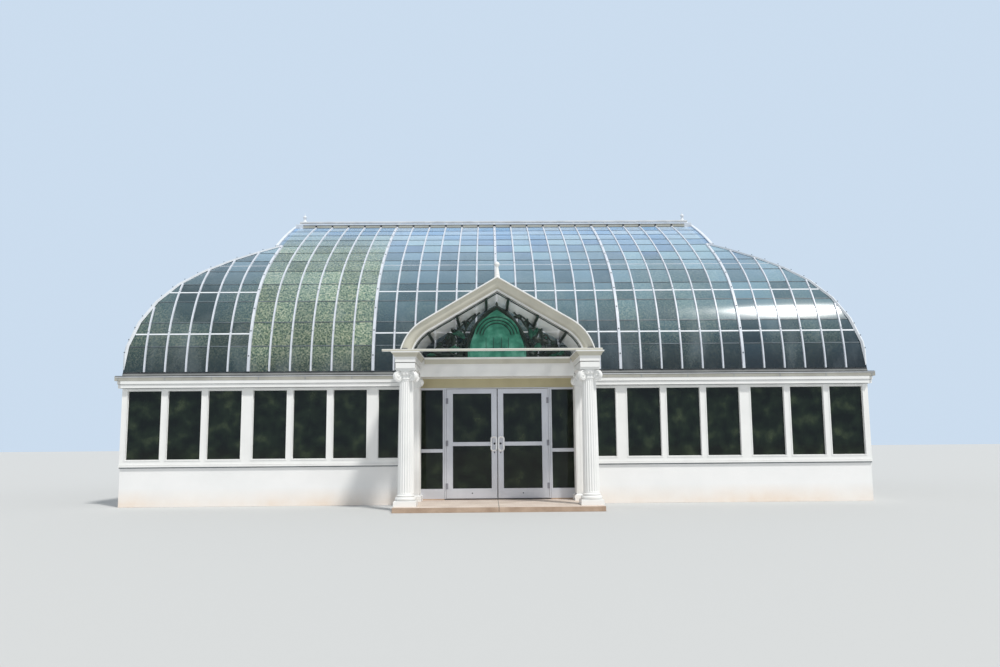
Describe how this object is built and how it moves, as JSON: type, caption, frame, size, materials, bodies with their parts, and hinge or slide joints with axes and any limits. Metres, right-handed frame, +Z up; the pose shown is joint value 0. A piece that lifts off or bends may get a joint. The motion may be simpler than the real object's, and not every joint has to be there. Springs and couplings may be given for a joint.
{
  "type": "glass greenhouse",
  "caption": "Long glass greenhouse with a curved hipped glass roof, glazed gablets, a low painted base wall and a columned entrance porch with double doors.",
  "frame": {"origin": "centre of the main plan, at ground level, on the underside of the floor slab", "axes": "+X along the long front to the right seen from outside, +Z up, so the entrance front faces -Y"},
  "size_m": [14.8604, 11.7736, 7.1421],
  "materials": {
    "concrete": "rough",
    "painted_masonry": "matte",
    "white_joinery": "satin",
    "white_ironwork": "satin",
    "grey_metal": "satin",
    "window_glass": "gloss",
    "roof_glass": "gloss",
    "door_aluminium": "satin",
    "steel_fittings": "brushed",
    "porch_panels": "satin",
    "dark_metal": "satin",
    "green_copper": "matte"
  },
  "bodies": {
    "building": {"back_base_wall": "painted_masonry", "back_roof_glass": "roof_glass", "back_window_frame": "white_joinery", "back_window_glass": "window_glass", "door_head": "white_joinery", "door_threshold": "concrete", "end_eave_plates": "white_joinery", "end_gutter_fronts": "grey_metal", "end_gutters": "grey_metal", "end_ribs": "white_ironwork", "end_roof_bars": "white_ironwork", "end_roof_glass": "roof_glass", "floor_slab": "concrete", "front_base_walls": "painted_masonry", "front_roof_glass": "roof_glass", "front_window_frames": "white_joinery", "front_window_glass": "window_glass", "gablet_arches": "white_ironwork", "gablet_collars": "white_ironwork", "gablet_glass": "roof_glass", "hip_caps": "white_ironwork", "hip_ribs": "white_ironwork", "left_column": "white_joinery", "long_eave_plates": "white_joinery", "long_gutter_fronts": "grey_metal", "long_gutters": "grey_metal", "long_roof_bars": "white_ironwork", "main_arches": "white_ironwork", "medallion_panel": "green_copper", "pilasters": "white_joinery", "porch_cap_rail": "white_joinery", "porch_finial": "white_joinery", "porch_rear_beam": "white_joinery", "porch_roof_bars": "dark_metal", "porch_roof_glass": "porch_panels", "porch_side_beams": "white_joinery", "porch_slab": "concrete", "raking_cornice": "white_joinery", "ridge_beam": "white_ironwork", "ridge_cap": "grey_metal", "ridge_finials": "white_ironwork", "ridge_vents": "roof_glass", "right_column": "white_joinery", "roof_purlins": "white_ironwork", "scrollwork": "dark_metal", "side_base_walls": "painted_masonry", "side_window_frames": "white_joinery", "side_window_glass": "window_glass", "sidelight_frames": "door_aluminium", "sidelight_glass": "window_glass", "verge_boards": "white_ironwork"},
    "left_door": {"left_door_leaf": "door_aluminium", "left_door_glass": "window_glass", "left_door_handle": "steel_fittings", "left_door_hinges": "steel_fittings"},
    "right_door": {"right_door_leaf": "door_aluminium", "right_door_glass": "window_glass", "right_door_handle": "steel_fittings", "right_door_hinges": "steel_fittings"}
  },
  "joints": [
    {"name": "left_door_hinge", "type": "hinge", "parent": "building", "child": "left_door", "pos_m": [-0.9975, -4.88576, 1.1705], "axis": [0, 0, -1], "range_deg": [0, 90]},
    {"name": "right_door_hinge", "type": "hinge", "parent": "building", "child": "right_door", "pos_m": [0.9975, -4.88576, 1.1705], "axis": [0, 0, 1], "range_deg": [0, 90]}
  ]
}
